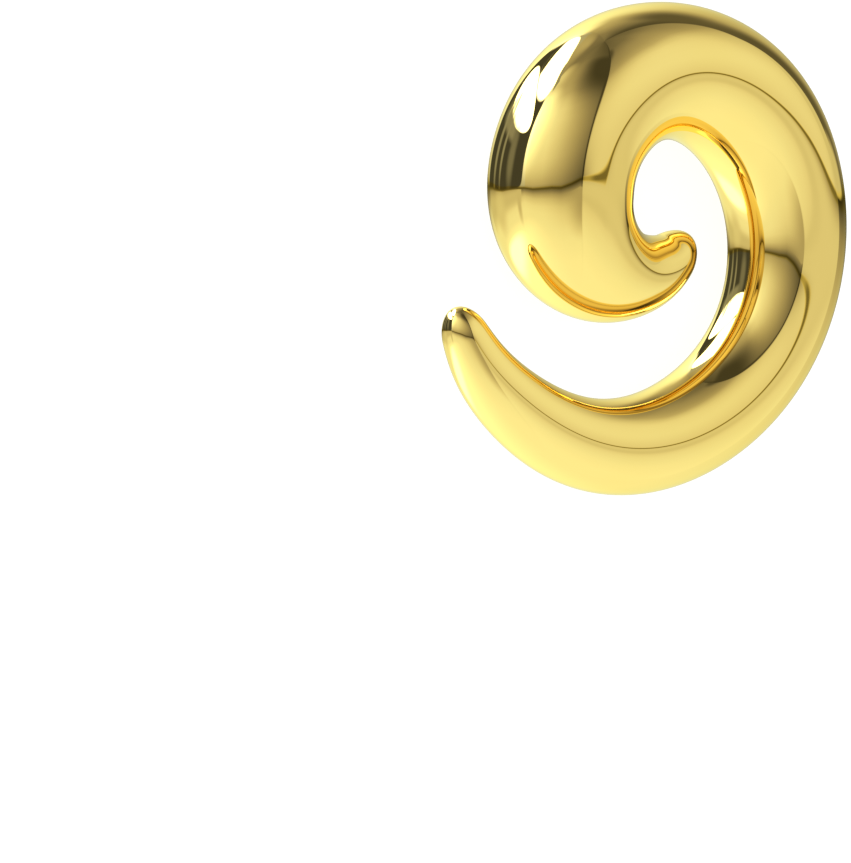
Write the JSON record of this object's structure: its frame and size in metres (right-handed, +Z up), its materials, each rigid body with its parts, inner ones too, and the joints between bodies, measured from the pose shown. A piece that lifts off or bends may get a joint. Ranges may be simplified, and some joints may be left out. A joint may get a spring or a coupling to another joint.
{
  "type": "spiral ear taper",
  "caption": "Flat spiral of round polished bar, worn in a stretched ear lobe: slim rounded tip, long arm, full belly and small inner curl.",
  "frame": {"origin": "on the surface that the taper lies on, under the middle of its box", "axes": "+Z up, across the flat of the spiral; seen from above the bar runs anticlockwise inwards from its tip, which points towards -Y and -X"},
  "size_m": [0.0332, 0.033, 0.0101],
  "materials": {
    "gold_coating": "mirror-polished steel with a thin gold-coloured coating"
  },
  "bodies": {
    "root": {"taper": "gold_coating"}
  },
  "joints": []
}
